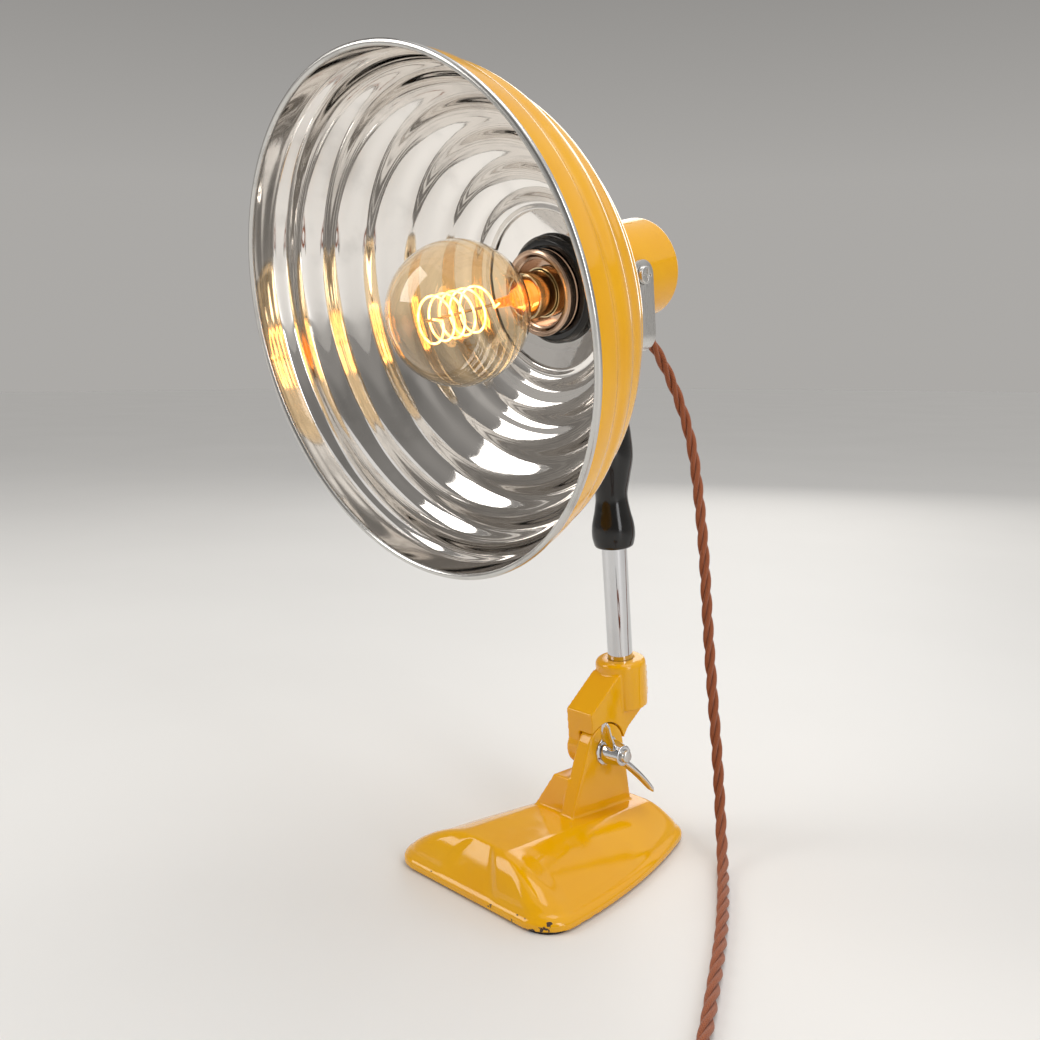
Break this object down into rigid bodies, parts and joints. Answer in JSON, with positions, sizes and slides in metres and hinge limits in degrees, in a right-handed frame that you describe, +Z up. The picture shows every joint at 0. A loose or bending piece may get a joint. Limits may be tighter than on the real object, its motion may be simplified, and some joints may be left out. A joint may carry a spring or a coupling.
{
  "type": "heat-lamp style table lamp",
  "caption": "Table lamp with a ribbed bowl reflector and round bulb on a tilting head, chrome stem with a turned handle, cast foot with a wing-nut tilt joint, and twisted fabric cord.",
  "frame": {"origin": "on the floor under the middle of the foot", "axes": "+Z up; the lamp shines towards -Y; the wing nut is on the +X side"},
  "size_m": [0.4596, 0.3665, 0.4709],
  "materials": {
    "yellow_enamel": "glossy golden yellow enamel over metal",
    "reflector_shell": "yellow enamel outside, mirror-polished bare metal inside, bare rolled rim",
    "chrome_plate": "bright chrome plate",
    "zinc_steel": "bright zinc-plated steel",
    "friction_fibre": "pressed red-brown fibre",
    "black_bakelite": "polished black bakelite",
    "holder_ceramic": "glazed white ceramic",
    "copper_skirt": "coppery plated brass",
    "contact_brass": "nickelled brass",
    "amber_glass": "clear amber-tinted glass",
    "filament_wire": "glowing filament wire",
    "support_wire": "thin drawn wire",
    "cord_braid": "rust-brown braided fabric over twisted cores",
    "strain_relief": "black moulded rubber",
    "plug_plastic": "polished black moulded plastic",
    "plug_brass": "turned brass",
    "foot_pad": "thin dark rubber sheet"
  },
  "bodies": {
    "base": {"base_casting": "yellow_enamel", "base_pad": "foot_pad", "pivot_bolt": "zinc_steel", "friction_disc": "friction_fibre", "wing_washer": "chrome_plate", "cord_hanging": "cord_braid", "cord_floor": "cord_braid", "cord_coil": "cord_braid", "cord_tail": "cord_braid", "plug_body": "plug_plastic", "plug_pins": "plug_brass"},
    "wing_nut": {"wing_nut": "chrome_plate"},
    "stem": {"knuckle": "yellow_enamel", "grub_screw": "zinc_steel", "stem_tube": "chrome_plate", "handle": "black_bakelite", "tube_insert": "zinc_steel", "handle_collar": "chrome_plate", "yoke": "zinc_steel", "yoke_bolt": "zinc_steel"},
    "head": {"reflector": "reflector_shell", "rear_cap": "yellow_enamel", "yoke_washers": "zinc_steel", "yoke_screws": "zinc_steel", "shade_ring": "black_bakelite", "holder_body": "holder_ceramic", "holder_skirt": "copper_skirt", "thread_shell": "contact_brass", "centre_contact": "contact_brass", "holder_nipple": "zinc_steel", "nipple_nut": "zinc_steel", "bulb_glass": "amber_glass", "bulb_cap": "contact_brass", "bulb_stem": "amber_glass", "filament": "filament_wire", "filament_supports": "support_wire", "cord_gland": "strain_relief", "inner_lead": "cord_braid"}
  },
  "joints": [
    {"name": "base_tilt", "type": "hinge", "parent": "base", "child": "stem", "pos_m": [0, 0.0265, 0.0665], "axis": [1, 0, 0], "range_deg": [-20, 35], "deforming": ["cord_hanging"]},
    {"name": "head_tilt", "type": "hinge", "parent": "stem", "child": "head", "pos_m": [0, 0.0276, 0.36617], "axis": [1, 0, 0], "range_deg": [-20, 20], "deforming": ["cord_hanging"]},
    {"name": "wing_nut_turn", "type": "hinge", "parent": "base", "child": "wing_nut", "pos_m": [0.02, 0.0265, 0.0665], "axis": [1, 0, 0], "range_deg": [-90, 90]}
  ]
}
